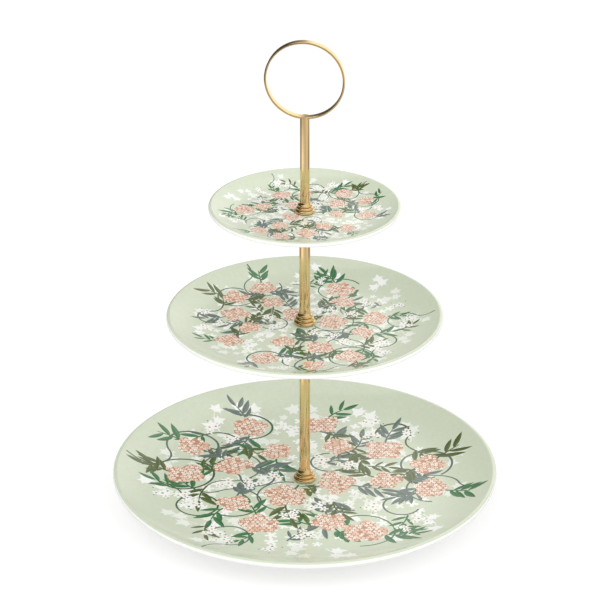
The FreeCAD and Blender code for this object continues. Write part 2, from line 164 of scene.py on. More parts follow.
INK_COLORS = {
    "sage": ((206, 215, 192), (211, 219, 198)),
    "white": ((247, 248, 244),),
    "veil": ((236, 240, 231),),
    "stem": ((62, 94, 62),),
    "vine": ((92, 108, 98),),
    "emerald": ((56, 112, 66),),
    "emerald_light": ((70, 128, 80),),
    "olive": ((80, 94, 46),),
    "olive_light": ((96, 112, 60),),
    "slate": ((96, 112, 106),),
    "slate_light": ((112, 128, 122),),
    "coral": ((194, 144, 119),),
    "rust": ((170, 104, 80),),
    "blush": ((245, 219, 200),),
    "cream": ((253, 243, 230),),
    "rose": ((236, 198, 172),),
    "amber": ((206, 150, 78),),
    "dot": ((84, 72, 56),),
}
INKS = list(INK_COLORS)
INK_MATERIALS = [
    glaze(f"ink_{name}", *(linear(*rgb) for rgb in colors)) for name, colors in INK_COLORS.items()
]


def bare_clay():
    """Unglazed porcelain, where a foot ring stands."""
    pale, deep = linear(226, 221, 210), linear(208, 202, 190)
    material, tree, shader = new_material("bare_clay", pale, Roughness=0.75)
    vary_color(tree, shader, noise(tree, 900.0, 4.0), pale, deep)
    add_bump(tree, shader, noise(tree, 2500.0, 3.0), CLAY_RELIEF)
    return material


def clear_rubber():
    """Cloudy see-through rubber of the gaskets."""
    material, tree, shader = new_material("clear_rubber", linear(236, 236, 230), Transmission_Weight=0.7,
                                          IOR=1.41, Roughness=0.35)
    vary_roughness(tree, shader, noise(tree, 400.0), *RUBBER_GLOSS)
    return material


WHITE_GLAZE = glaze("white_glaze", linear(247, 247, 243), linear(241, 242, 238))
BARE_CLAY = bare_clay()
GOLD = metal("pale_gold", linear(240, 213, 162), linear(236, 204, 148), GOLD_GLOSS)
BRASS = metal("plain_brass", linear(200, 170, 106), linear(182, 150, 88), BRASS_GLOSS)
RUBBER = clear_rubber()

SLOT_MATERIALS = {"gold_metal": GOLD, "plain_brass": BRASS, "clear_gasket": RUBBER}
for part in frame["record"]["subparts"]:
    if part["material_slot"] in SLOT_MATERIALS:
        node = frame["nodes"][part["node"]]
        node.data.materials.clear()
        node.data.materials.append(SLOT_MATERIALS[part["material_slot"]])

# ---------------------------------------------------------------- the printed design

# in millimetres along a curl
CURL_STEP = 2.3
TRIES_PER_PLACE = 400


class Design:
    """Closed outlines in millimetres, drawn in order: a later one lies over an earlier one."""

    def __init__(self, seed):
        self.dice = random.Random(seed)
        self.outlines = []

    def add(self, ink, points):
        self.outlines.append((ink, points))

    def disc(self, ink, x, y, width, turn, sides):
        """A round spot centred on x, y."""
        points = []
        for i in range(sides):
            angle = TAU * i / sides
            along, across = width / 2 * math.cos(angle), width / 2 * math.sin(angle)
            points.append((x + along * math.cos(turn) - across * math.sin(turn),
                           y + along * math.sin(turn) + across * math.cos(turn)))
        self.add(ink, points)

    def rosette(self, ink, x, y, radius, petals, waist, turn):
        """A flower outline of blunt petals round x, y, drawn in to the waist between them."""
        points = []
        for k in range(petals):
            for tip in (-0.2, 0.2):
                angle = turn + TAU * (k + tip) / petals
                points.append((x + radius * math.cos(angle), y + radius * math.sin(angle)))
            angle = turn + TAU * (k + 0.5) / petals
            points.append((x + waist * radius * math.cos(angle), y + waist * radius * math.sin(angle)))
        self.add(ink, points)

    def leaf(self, dark, light, x, y, turn, length, width, bend):
        """A pointed leaf from its base at x, y, with one half along its bent rib in the light ink."""
        steps = 6
        heading = turn - bend / 2
        spine = []
        for i in range(steps + 1):
            half = width / 2 * math.sin(math.pi * (i / steps) ** 0.85) ** 0.8 if 0 < i < steps else 0.0
            spine.append((x, y, -half * math.sin(heading), half * math.cos(heading)))
            heading += bend / steps
            x += length / steps * math.cos(heading)
            y += length / steps * math.sin(heading)
        left = [(sx + dx, sy + dy) for sx, sy, dx, dy in spine]
        right = [(sx - dx, sy - dy) for sx, sy, dx, dy in spine[-2:0:-1]]
        self.add(dark, left + right)
        rib = [(sx - 0.12 * dx, sy - 0.12 * dy) for sx, sy, dx, dy in spine]
        half_edge = [(sx - 0.8 * dx, sy - 0.8 * dy) for sx, sy, dx, dy in spine[-2:0:-1]]
        self.add(light, rib + half_edge)

    def lobed_leaf(self, ink, x, y, turn, size):
        """A leaf of five pointed lobes with its stalk at x, y."""
        half = ((0.0, 0.0), (0.12, 0.32), (0.02, 0.52), (0.34, 0.36), (0.52, 0.56), (0.58, 0.22), (1.0, 0.0))
        whole = list(half) + [(along, -across) for along, across in half[-2:0:-1]]
        ahead, aside = math.cos(turn) * size, math.sin(turn) * size
        self.add(ink, [(x + along * ahead - across * aside, y + along * aside + across * ahead)
                       for along, across in whole])

    def ribbon(self, ink, points, width, tip=0.4):
        """A line that thins to its tip, as short four-sided pieces."""
        rows = []
        for i, (x, y) in enumerate(points):
            ax, ay = points[max(i - 1, 0)]
            bx, by = points[min(i + 1, len(points) - 1)]
            size = math.hypot(bx - ax, by - ay)
            half = width / 2 * (1 - (1 - tip) * (i / (len(points) - 1)) ** 2)
            dx, dy = -(by - ay) / size * half, (bx - ax) / size * half
            rows.append(((x + dx, y + dy), (x - dx, y - dy)))
        for (a, b), (c, d) in zip(rows, rows[1:]):
            self.add(ink, [b, d, c, a])

    def curl(self, x, y, heading, lengths_and_turns):
        """Points and last heading of a line that starts at x, y and turns by so much over each length."""
        points = [(x, y)]
        for length, turning in lengths_and_turns:
            count = max(2, round(length / CURL_STEP))
            for _ in range(count):
                heading += turning / count
                x += length / count * math.cos(heading)
                y += length / count * math.sin(heading)
                points.append((x, y))
        return points, heading

    def cluster(self, x, y, radius):
        """A loose many-lobed flower head made of small five-petal florets."""
        lobes = [(x, y, radius * 0.72)]
        start = self.dice.uniform(0, TAU)
        count = self.dice.choice((4, 5))
        for k in range(count):
            angle = start + TAU * (k + self.dice.uniform(-0.2, 0.2)) / count
            away = radius * self.dice.uniform(0.48, 0.66)
            lobes.append((x + away * math.cos(angle), y + away * math.sin(angle),
                          radius * self.dice.uniform(0.38, 0.5)))
        for lx, ly, size in lobes:
            self.disc("coral", lx, ly, 2 * size, 0.1, sides=14)
        spacing = 3.25
        wobble = 0.42
        tilt = self.dice.uniform(0, TAU)
        reach = int(1.3 * radius / spacing) + 2
        for row in range(-reach, reach + 1):
            for column in range(-reach, reach + 1):
                u = (column + (row % 2) / 2) * spacing + self.dice.uniform(-wobble, wobble)
                v = row * spacing * 0.866 + self.dice.uniform(-wobble, wobble)
                fx = x + u * math.cos(tilt) - v * math.sin(tilt)
                fy = y + u * math.sin(tilt) + v * math.cos(tilt)
                if min(math.hypot(fx - lx, fy - ly) - size for lx, ly, size in lobes) > 0.3:
                    continue
                if self.dice.random() < 0.05:
                    continue
                tone = self.dice.choice(("cream", "cream", "cream", "blush", "blush", "rose"))
                turn = self.dice.uniform(0, TAU)
                self.rosette(tone, fx, fy, self.dice.uniform(1.35, 1.62), petals=5, waist=0.6, turn=turn)
                self.disc(self.dice.choice(("rust", "coral")), fx, fy, 0.75, turn, sides=4)

    def spray(self, x, y, heading, leaves, length, inks, bend, broad=False):
        """Leaves on both sides and at the end of a bent stem: long and slim, or broad and short."""
        dark, light = inks
        points, _ = self.curl(x, y, heading, ((length, bend),))
        self.ribbon(dark, points, 1.5)
        headings = [math.atan2(b[1] - a[1], b[0] - a[0]) for a, b in zip(points, points[1:])]
        for i in range(leaves):
            share = 0.2 + 0.8 * i / (leaves - 1)
            at = min(len(points) - 1, round(share * (len(points) - 1)))
            side = 1 if i % 2 else -1
            turn = headings[min(at, len(headings) - 1)]
            if i < leaves - 1:
                turn += side * self.dice.uniform(0.65, 0.95)
            size = length * (self.dice.uniform(0.46, 0.56) if broad else self.dice.uniform(0.7, 0.9))
            width = size * (self.dice.uniform(0.44, 0.52) if broad else self.dice.uniform(0.22, 0.28))
            self.leaf(dark, light, *points[at], turn, size, width, -side * self.dice.uniform(0.05, 0.45))

    def daisy(self, x, y, radius):
        """A small white flower with a coloured middle."""
        start = self.dice.uniform(0, TAU)
        self.rosette("white", x, y, radius, petals=5, waist=0.4, turn=start)
        middle = self.dice.choice(("amber", "amber", "rust", "stem"))
        self.disc(middle, x, y, radius * 0.5, start, sides=6)


def spread(dice, count, low, high, apart, taken):
    """Up to count random places between two radii, each clear of the ones already taken."""
    found = []
    for _ in range(count * TRIES_PER_PLACE):
        if len(found) == count:
            break
        radius = math.sqrt(dice.uniform(low ** 2, high ** 2))
        angle = dice.uniform(0, TAU)
        x, y = radius * math.cos(angle), radius * math.sin(angle)
        if all(math.hypot(x - a, y - b) > apart + r for a, b, r in taken):
            found.append((x, y))
            taken.append((x, y, 0.0))
    return found


def clear_of(heads, share):
    """The flower heads as places taken, with that share of their radius."""
    return [(x, y, radius * share) for x, y, radius in heads]


LEAF_INKS = (("emerald", "emerald_light"), ("olive", "olive_light"), ("slate", "slate_light"))


def draw_pale_leaves(design, heads):
    """White stems of lobed leaves towards the border, and white flowers thick in the middle."""
    dice = design.dice
    stems = 16
    for k in range(stems):
        angle = TAU * (k + dice.uniform(-0.3, 0.3)) / stems
        away = dice.uniform(88, 98)
        hand = dice.choice((-1, 1))
        heading = angle + hand * dice.uniform(0.1, 0.9)
        points, _ = design.curl(away * math.cos(angle), away * math.sin(angle), heading,
                                ((dice.uniform(19, 25), hand * 0.6),))
        ink = dice.choice(("white", "veil"))
        design.ribbon(ink, points, 0.8)
        for at, side in ((3, 1), (6, -1), (len(points) - 1, 0)):
            turn = heading + hand * 0.08 * at + side * 1.1
            design.lobed_leaf(ink, *points[at], turn, dice.uniform(9, 12))
    for x, y in spread(dice, 190, low=10, high=94, apart=5.6, taken=clear_of(heads, 0.7)):
        if dice.random() < 0.3:
            ink = dice.choice(("white", "veil"))
            design.lobed_leaf(ink, x, y, dice.uniform(0, TAU), dice.uniform(7, 10))
        else:
            ink = dice.choice(("white", "white", "veil"))
            design.rosette(ink, x, y, dice.uniform(3.2, 5.0), petals=dice.choice((4, 5)), waist=0.38,
                           turn=dice.uniform(0, TAU))


def draw_vines(design, heads):
    """Wide open loops, half of them round flower heads, with a spray of leaves where each ends."""
    dice = design.dice
    circled = [(x, y, radius + dice.uniform(3.5, 7.5)) for x, y, radius in heads[::2]]
    free = spread(dice, 6, low=26, high=98, apart=10.0, taken=clear_of(heads, 1.0))
    circled += [(x, y, dice.uniform(11.0, 15.0)) for x, y in free]
    for k, (x, y, away) in enumerate(circled):
        hand = dice.choice((-1, 1))
        angle = dice.uniform(0, TAU)
        sweep = dice.uniform(4.2, 5.5)
        bends = ((away * sweep, hand * sweep), (16, -hand * 1.2))
        points, heading = design.curl(x + away * math.cos(angle), y + away * math.sin(angle),
                                      angle + hand * math.pi / 2, bends)
        inks = LEAF_INKS[k % len(LEAF_INKS)]
        design.ribbon(dice.choice(("stem", "vine", inks[0])), points, dice.uniform(1.3, 1.7), 0.8)
        design.spray(*points[-1], heading, dice.choice((5, 6)), dice.uniform(17, 21), inks, -hand * 0.5)


def draw_sprays(design, heads):
    """Leaf sprays that leave the flower heads, and more in the free places."""
    dice = design.dice
    for x, y, radius in heads:
        outward = math.atan2(y, x)
        for turn in (outward + dice.uniform(-1.1, 1.1), outward + math.pi + dice.uniform(-1.2, 1.2)):
            start_x, start_y = x + 0.7 * radius * math.cos(turn), y + 0.7 * radius * math.sin(turn)
            inks = dice.choice(LEAF_INKS)
            design.spray(start_x, start_y, turn, dice.choice((5, 6, 7)), dice.uniform(17, 22.5), inks,
                         dice.uniform(-0.8, 0.8), broad=dice.random() < 0.2)
    for x, y in spread(dice, 9, low=14, high=98, apart=13.0, taken=clear_of(heads, 0.9)):
        design.spray(x, y, dice.uniform(0, TAU), 5, dice.uniform(13, 17), dice.choice(LEAF_INKS),
                     dice.uniform(-1.0, 1.0))


def draw_daisies(design, heads):
    """Small daisies in threes and fours, with single dots round them."""
    dice = design.dice
    for x, y in spread(dice, 22, low=13, high=104, apart=12.0, taken=clear_of(heads, 0.85)):
        around = dice.uniform(0, TAU)
        for k in range(dice.choice((3, 4))):
            angle = around + k * 1.9
            away = dice.uniform(3.4, 5.8) if k else 0.0
            design.daisy(x + away * math.cos(angle), y + away * math.sin(angle), dice.uniform(3.0, 4.1))
        for k in range(4):
            angle = around + 1.0 + k * 1.4
            away = dice.uniform(7.0, 9.0)
            design.disc(dice.choice(("dot", "stem", "amber")), x + away * math.cos(angle),
                        y + away * math.sin(angle), 1.2, 0.0, sides=6)


def floral_design(seed):
    """An invented all-over pattern for the largest plate, in millimetres from its centre."""
    design = Design(seed)
    dice = design.dice
    places = spread(dice, 17, low=22, high=99, apart=27.5, taken=[])
    heads = [(x, y, dice.uniform(11.5, 15.5)) for x, y in places]
    draw_pale_leaves(design, heads)
    draw_vines(design, heads)
    draw_sprays(design, heads)
    for head in heads:
        design.cluster(*head)
    draw_daisies(design, heads)
    return design.outlines


# ---------------------------------------------------------------- plates


class PlateShape:
    """Section of a plate in metres: flat floor, arc wall, round rim, foot ring and centre hole."""

    def __init__(self, node, floor_top, underside, floor_radius, foot_inset):
        low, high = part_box(node)
        self.radius = high.x
        self.wall = floor_top - underside
        self.floor_radius = floor_radius
        self.floor_top = floor_top
        self.foot_z = low.z
        self.foot_outer = floor_radius - foot_inset
        rim_radius = self.radius - self.wall / 2
        depth = high.z - floor_top
        run = rim_radius - floor_radius
        self.arc = (run ** 2 + depth ** 2) / (2 * depth)
        self.arc_z = floor_top - self.wall / 2 + self.arc
        self.rim = Vector((rim_radius, high.z - self.wall / 2))
        self.inward = Vector((-run, self.arc_z - self.rim.y)).normalized()
        self.outward = Vector((self.inward.y, -self.inward.x))
        self.print_edge = (self.rim + self.inward * self.wall / 2).x

    def arc_height(self, radius, offset):
        """Height at a radius of the wall arc moved by offset towards its centre."""
        run = max(0.0, radius - self.floor_radius)
        return self.arc_z - math.sqrt((self.arc - offset) ** 2 - run ** 2)

    def top_normals(self, radii):
        """Slope of the upper face: how far its normal leans inward and up."""
        lean = np.clip(radii - self.floor_radius, 0, None) / (self.arc - self.wall / 2)
        return -lean, np.sqrt(1 - lean ** 2)


def rounded(corner, before, after, radius, steps=4):
    """Points of a fillet at corner, between the directions of its two neighbours."""
    to_before, to_after = (before - corner).normalized(), (after - corner).normalized()
    half = to_before.angle(to_after) / 2
    set_back = radius / math.tan(half)
    centre = corner + (to_before + to_after).normalized() * radius / math.sin(half)
    first = (corner + to_before * set_back - centre).normalized()
    last = (corner + to_after * set_back - centre).normalized()
    return [centre + radius * first.slerp(last, i / steps) for i in range(steps + 1)]


FOOT_WIDTH = 5.0 * MM
FOOT_TAPER = 0.9 * MM
FOOT_ROUND = 0.8 * MM
FOOT_ROUND_SHARE = 0.4
HOLE_ROUND = 0.5 * MM
HOLE_RADIUS = 3.5 * MM
RIM_STEPS = 12
SAGE_STEPS = 5
UNDER_STEPS = 14
RIM_SIDES = 288
HOLE_SIDES = 72

# how the print is cut into triangles, in millimetres
BORDER_MARGIN = 1.2
HOLE_MARGIN = 0.25
GRID_RINGS = 30
GRID_SPACING = 5.2
GRID_LEAST_SIDES = 40
MERGE_DISTANCE = 1e-5

# how exactly a vertex lies on an edge's circle, in metres, and at its start, in radians
ON_CIRCLE = 2e-6
AT_START = 1e-4

# places on the bake map: the upper face's square, and rings for the rest in a free corner
BAKE_FACE_MIDDLE = 0.4
BAKE_FACE_REACH = 0.39
BAKE_RINGS_MIDDLE = 0.9
BAKE_RINGS_REACH = 0.095
BAKE_RINGS_SHRINK = 0.9


def lathe_profile(shape, inner):
    """Points and material names from the print's edge round the rim and underside to the hole."""
    half = shape.wall / 2
    points, names = [], []
    for i in range(RIM_STEPS + 1):
        angle = math.pi * i / RIM_STEPS
        points.append(shape.rim + half * (shape.inward * math.cos(angle) + shape.outward * math.sin(angle)))
        names.append("sage" if i < SAGE_STEPS else "white_glaze")
    low_edge = points[-1].x
    for i in range(1, UNDER_STEPS + 1):
        radius = low_edge + (shape.floor_radius - low_edge) * i / UNDER_STEPS
        points.append(Vector((radius, shape.arc_height(radius, -half))))
        names.append("white_glaze")
    under = shape.floor_top - shape.wall
    foot_in = shape.foot_outer - FOOT_WIDTH
    corners = [Vector((shape.foot_outer, under)), Vector((shape.foot_outer - FOOT_TAPER, shape.foot_z)),
               Vector((foot_in + FOOT_TAPER, shape.foot_z)), Vector((foot_in, under))]
    ends = [points[-1]] + corners + [Vector((HOLE_RADIUS, under))]
    for before, corner, after, glazed in zip(ends, ends[1:], ends[2:], (True, False, False, True)):
        size = min(FOOT_ROUND, (under - shape.foot_z) * FOOT_ROUND_SHARE)
        for point in rounded(corner, before, after, size):
            points.append(point)
            names.append("white_glaze" if glazed else "bare_clay")
    low_hole, high_hole = Vector((HOLE_RADIUS, under)), Vector((HOLE_RADIUS, shape.floor_top))
    far_low, far_high = Vector((foot_in * 0.5, under)), Vector((inner, shape.floor_top))
    for corner, before, after in ((low_hole, far_low, high_hole), (high_hole, low_hole, far_high)):
        for point in rounded(corner, before, after, HOLE_ROUND, 3):
            points.append(point)
            names.append("white_glaze")
    points.append(Vector((inner, shape.floor_top)))
    names.append("white_glaze")
    return points, names


def topmost(centres, outlines):
    """For each point, the index of the last outline that it lies in, or -1."""
    order = np.argsort(centres[:, 0])
    x, y = centres[order, 0], centres[order, 1]
    found = np.full(len(order), -1)
    for index, outline in enumerate(outlines):
        first, last = np.searchsorted(x, (outline[:, 0].min(), outline[:, 0].max()))
        inside = np.zeros(last - first, bool)
        px, py = x[first:last], y[first:last]
        for (ax, ay), (bx, by) in zip(outline, np.roll(outline, -1, axis=0)):
            if ay != by:
                inside ^= ((ay > py) != (by > py)) & (px < (bx - ax) * (py - ay) / (by - ay) + ax)
        found[first:last][inside] = index
    result = np.empty_like(found)
    result[order] = found
    return result


def circle(radius, sides):
    """Points round the axis, from angle 0."""
    angles = TAU * np.arange(sides) / sides
    return radius * np.column_stack([np.cos(angles), np.sin(angles)])


def place_outlines(outlines, scale, turn, low, high):
    """The outlines that lie between the radii low and high once scaled and turned, and their inks."""
    spin = scale * np.array([[math.cos(turn), math.sin(turn)], [-math.sin(turn), math.cos(turn)]])
    placed, inks = [], []
    for ink, outline in outlines:
        points = np.array(outline) @ spin
        away = np.hypot(*points.T)
        if away.max() < high and away.min() > low:
            placed.append(points)
            inks.append(INKS.index(ink))
    return placed, inks


def print_mesh(shape, outlines, inner, scale, turn):
    """Flat triangles of the upper face, cut up by the outlines, with the ink of the topmost on each."""
    edge, hole = shape.print_edge / MM, inner / MM
    placed, inks = place_outlines(outlines, scale, turn, hole + HOLE_MARGIN, edge - BORDER_MARGIN)
    loops = [circle(edge, RIM_SIDES), circle(hole, HOLE_SIDES)] + placed
    borders = []
    start = 0
    for loop in loops:
        borders += [(start + i, start + (i + 1) % len(loop)) for i in range(len(loop))]
        start += len(loop)
    grid = []
    for k in range(1, GRID_RINGS):
        radius = hole + (edge - hole) * k / GRID_RINGS
        grid.append(circle(radius, max(GRID_LEAST_SIDES, int(TAU * radius / GRID_SPACING))))
    points = [Vector(point) for point in np.vstack(loops + grid)]
    flat, _, triangles, *_ = delaunay_2d_cdt(points, borders, [], 1, MERGE_DISTANCE, False)
    flat, triangles = np.array([tuple(point) for point in flat]), np.array(triangles)
    centres = flat[triangles].mean(axis=1)
    # the triangles that fill the hole are left out
    kept = np.hypot(*centres.T) > hole * 0.999
    top = topmost(centres[kept], placed)
    sage = INKS.index("sage")
    return flat * MM, triangles[kept], [inks[i] if i >= 0 else sage for i in top]


def raised_print(shape, outlines, inner, scale, turn):
    """The print raised to the section: vertices, normals, bake places, triangles and inks."""
    flat, triangles, inks = print_mesh(shape, outlines, inner, scale, turn)
    used = np.unique(triangles)
    remap = np.full(len(flat), -1)
    remap[used] = np.arange(len(used))
    flat, triangles = flat[used], remap[triangles]
    radii = np.hypot(flat[:, 0], flat[:, 1])
    heights = np.array([shape.arc_height(radius, shape.wall / 2) for radius in radii])
    lean, up = shape.top_normals(radii)
    outward = flat / radii[:, None]
    normals = np.column_stack([outward * lean[:, None], up])
    bakes = BAKE_FACE_MIDDLE + flat / shape.radius * BAKE_FACE_REACH
    return np.column_stack([flat, heights]), normals, bakes, triangles, inks


def ring_indexes(vertices, radius):
    """Vertices that lie on a circle round the axis, in order of their angle from 0."""
    away = np.hypot(vertices[:, 0], vertices[:, 1])
    found = np.nonzero(np.abs(away - radius) < ON_CIRCLE)[0]
    angles = np.arctan2(vertices[found, 1], vertices[found, 0]) % TAU
    angles[angles > TAU - AT_START] = 0
    return found[np.argsort(angles)]


def turned_rings(profile):
    """Vertices, normals and bake places of the profile turned round the axis, without its two ends."""
    angles = TAU * np.arange(RIM_SIDES) / RIM_SIDES
    round_axis = np.column_stack([np.cos(angles), np.sin(angles)])
    travelled = np.cumsum([(b - a).length for a, b in zip(profile, profile[1:])])
    vertices, normals, bakes = [], [], []
    for i in range(1, len(profile) - 1):
        tangent = (profile[i + 1] - profile[i - 1]).normalized()
        vertices.append(np.column_stack([profile[i].x * round_axis, np.full(RIM_SIDES, profile[i].y)]))
        normals.append(np.column_stack([-tangent.y * round_axis, np.full(RIM_SIDES, tangent.x)]))
        share = BAKE_RINGS_REACH * (1 - BAKE_RINGS_SHRINK * travelled[i - 1] / travelled[-1])
        bakes.append(BAKE_RINGS_MIDDLE + share * round_axis)
    return vertices, normals, bakes


def ring_faces(before, after):
    """Four-sided faces between two rings of as many vertices."""
    faces = []
    for k in range(RIM_SIDES):
        n = (k + 1) % RIM_SIDES
        faces.append([int(before[n]), int(before[k]), int(after[k]), int(after[n])])
    return faces


def hole_faces(before, hole):
    """Faces from a fine ring to the coarser one round the hole."""
    ratio = RIM_SIDES // HOLE_SIDES
    faces = []
    for k in range(HOLE_SIDES):
        fan = [int(before[(k * ratio + m) % RIM_SIDES]) for m in range(ratio + 1)]
        faces.append(fan[::-1] + [int(hole[k]), int(hole[(k + 1) % HOLE_SIDES])])
    return faces


def plate_object(name, vertices, normals, bakes, faces, materials):
    """A smooth mesh object with its own normals and bake map, in the inks and glazes."""
    mesh = bpy.data.meshes.new(name)
    mesh.from_pydata([tuple(vertex) for vertex in vertices], [], faces)
    for material in INK_MATERIALS + [WHITE_GLAZE, BARE_CLAY]:
        mesh.materials.append(material)
    mesh.polygons.foreach_set("material_index", materials)
    mesh.polygons.foreach_set("use_smooth", [True] * len(faces))
    corners = np.zeros(len(mesh.loops), np.int32)
    mesh.loops.foreach_get("vertex_index", corners)
    bake_map = mesh.uv_layers.new(name="OFBake")
    bake_map.data.foreach_set("uv", bakes[corners].astype(np.float32).ravel())
    mesh.update()
    plate = bpy.data.objects.new(name, mesh)
    SCENE.collection.objects.link(plate)
    mesh.normals_split_custom_set_from_vertices([tuple(normal) for normal in normals])
    return plate


def make_plate(name, body, node, shape, outlines, inner, scale, turn):
    """One closed printed plate: the raised print joined to the turned rim, underside and hole."""
    top, top_normals, top_bakes, triangles, inks = raised_print(shape, outlines, inner, scale, turn)
    outer = ring_indexes(top, shape.print_edge)
    hole = ring_indexes(top, inner)
    if len(outer) != RIM_SIDES or len(hole) != HOLE_SIDES:
        raise RuntimeError(f"{name}: the print's edges have {len(outer)} and {len(hole)} points")

    profile, names = lathe_profile(shape, inner)
    palette = {"sage": INKS.index("sage"), "white_glaze": len(INKS), "bare_clay": len(INKS) + 1}
    rings, ring_normals, ring_bakes = turned_rings(profile)
    faces = [list(map(int, corners)) for corners in triangles]
    materials = list(inks)
    before = outer
    for i, finish in enumerate(names[:-1]):
        if i < len(rings):
            after = len(top) + i * RIM_SIDES + np.arange(RIM_SIDES)
            strip = ring_faces(before, after)
            before = after
        else:
            strip = hole_faces(before, hole)
        faces += strip
        materials += [palette[finish]] * len(strip)

    plate = plate_object(name, np.vstack([top] + rings), np.vstack([top_normals] + ring_normals),
                         np.vstack([top_bakes] + ring_bakes), faces, materials)
    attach(plate, body)
    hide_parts(node)


DESIGN_SEED = 71
PRINT_UNDER_BELL = 1.0 * MM

# name, body and node; the pieces on, under and in the middle of the plate; then, in millimetres, the
# radius of its flat floor and how far in its foot stands; and the print's scale and its turn in radians
PLATES = (
    ("printed_bottom_plate", "base", "bottom_plate", "lower_seat_gasket", "base_gasket", "lower_bell",
     84.0, 8.0, 1.0, 0.0),
    ("printed_middle_plate", "middle_tier", "middle_plate", "middle_seat_gasket", "middle_under_gasket",
     "middle_bell", 57.0, 6.0, 0.704, 2.2),
    ("printed_top_plate", "top_tier", "top_plate", "handle_seat_gasket", "top_under_gasket", "handle_bell",
     38.0, 5.0, 0.482, 4.1),
)
outlines = floral_design(DESIGN_SEED)
for name, body, node, seat, under, bell, floor_mm, inset_mm, scale, turn in PLATES:
    floor_top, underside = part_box(seat)[0].z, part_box(under)[1].z
    shape = PlateShape(node, floor_top, underside, floor_mm * MM, inset_mm * MM)
    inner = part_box(bell)[1].x - PRINT_UNDER_BELL
    make_plate(name, body, node, shape, outlines, inner, scale, turn)

# ---------------------------------------------------------------- screws with real threads

PITCH = 0.7 * MM
THREAD_RADIUS = 2.0 * MM
THREAD_DEPTH = 0.43 * MM
THREAD_REACH = 10.0 * MM
SCREW_SIDES = 48
ROWS_PER_PITCH = 8
EDGE = 0.25 * MM
FLANGE_THICK = 1.2 * MM
FLANGE_SINK = 0.1 * MM
FLANGE_STEP = 1.4 * MM
FLANGE_BEVEL = 0.1 * MM
CREASE = math.radians(32)
SCREW_ANGLES = TAU * np.arange(SCREW_SIDES) / SCREW_SIDES


def thread_rows(low, high, tip_low):
    """Rings of a right-hand thread from low to high; its tip is bevelled and its other end runs out."""
    rows = []
    count = round((high - low) / PITCH * ROWS_PER_PITCH)
    for i in range(count + 1):
        height = low + (high - low) * i / count
        from_tip = height - low if tip_low else high - height
        from_runout = (high - low) - from_tip
        turn = (height / PITCH - SCREW_ANGLES / TAU) % 1.0
        # crest, flank, groove bottom and flank each take a quarter of the pitch
        groove = np.clip(1.5 - np.abs(turn - 0.5) * 4.0, 0.0, 1.0)
        depth = THREAD_DEPTH * groove * min(1.0, from_runout / PITCH)
        rows.append((np.minimum(THREAD_RADIUS - depth, THREAD_RADIUS - EDGE + from_tip), height))
    return rows


def lofted(name, rows, body, node, material):
    """A closed solid through stacked rings: radii and heights, each one number or one per side."""
    vertices = []
    for radii, heights in rows:
        radii, heights = np.broadcast_to(radii, SCREW_SIDES), np.broadcast_to(heights, SCREW_SIDES)
        vertices += zip(radii * np.cos(SCREW_ANGLES), radii * np.sin(SCREW_ANGLES), heights)
    faces = []
    for row in range(len(rows) - 1):
        for k in range(SCREW_SIDES):
            a, b = row * SCREW_SIDES + k, row * SCREW_SIDES + (k + 1) % SCREW_SIDES
            faces.append((a, b, b + SCREW_SIDES, a + SCREW_SIDES))
    for first, height, turn in ((0, rows[0][1], -1), ((len(rows) - 1) * SCREW_SIDES, rows[-1][1], 1)):
        centre = len(vertices)
        vertices.append((0.0, 0.0, height))
        for k in range(SCREW_SIDES):
            faces.append((centre, first + k, first + (k + 1) % SCREW_SIDES)[::turn])
    mesh = bpy.data.meshes.new(name)
    mesh.from_pydata([tuple(map(float, v)) for v in vertices], [], faces)
    mesh.materials.append(material)
    mesh.polygons.foreach_set("use_smooth", [True] * len(faces))
    mesh.set_sharp_from_angle(angle=CREASE)
    solid = bpy.data.objects.new(name, mesh)
    SCENE.collection.objects.link(solid)
    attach(solid, body)
    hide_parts(node)


def make_base_screw():
    """Button-head screw, head down: hexagon socket, domed head, plain neck, thread at the top."""
    low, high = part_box("base_bolt")
    head_height = 2.2 * MM
    head_edge = 0.4 * MM
    socket_depth = 1.3 * MM
    socket_flats = 2.5 * MM
    neck_step = 0.01 * MM
    dome_steps = 8
    head = high.x
    dome_height = head_height - head_edge
    dome = (head ** 2 + dome_height ** 2) / (2 * dome_height)
    hexagon = socket_flats / 2 / np.cos((SCREW_ANGLES % (TAU / 6)) - TAU / 12)
    rows = [(hexagon, low.z + socket_depth)]
    for i in range(dome_steps + 1):
        radii = hexagon + (head - hexagon) * i / dome_steps
        rows.append((radii, low.z + dome - np.sqrt(dome ** 2 - radii ** 2)))
    start = high.z - THREAD_REACH
    rows += [(head, low.z + head_height), (THREAD_RADIUS, low.z + head_height), (THREAD_RADIUS, start)]
    rows += thread_rows(start + neck_step, high.z, False)
    lofted("threaded_base_screw", rows, "base", "base_bolt", GOLD)


def make_stud(name, body, node, bell):
    """Stud that points down: thread, plain neck, flange inside the bell, spigot for the tube."""
    low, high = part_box(node)
    flange = high.x
    spigot = flange - FLANGE_STEP
    flange_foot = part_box(bell)[0].z + FLANGE_SINK
    flange_top = flange_foot + FLANGE_THICK
    thread_end = low.z + THREAD_REACH
    rows = thread_rows(low.z, thread_end, True)
    rows += [(THREAD_RADIUS, flange_foot), (flange - FLANGE_BEVEL, flange_foot),
             (flange, flange_foot + FLANGE_BEVEL), (flange, flange_top - FLANGE_BEVEL),
             (flange - FLANGE_BEVEL, flange_top), (spigot, flange_top),
             (spigot, high.z - EDGE), (spigot - EDGE, high.z)]
    lofted(name, rows, body, node, BRASS)


make_base_screw()
make_stud("threaded_upper_stud", "upper_column", "upper_foot_stud", "middle_bell")
make_stud("threaded_handle_stud", "handle", "handle_foot_stud", "handle_bell")

# ---------------------------------------------------------------- studio

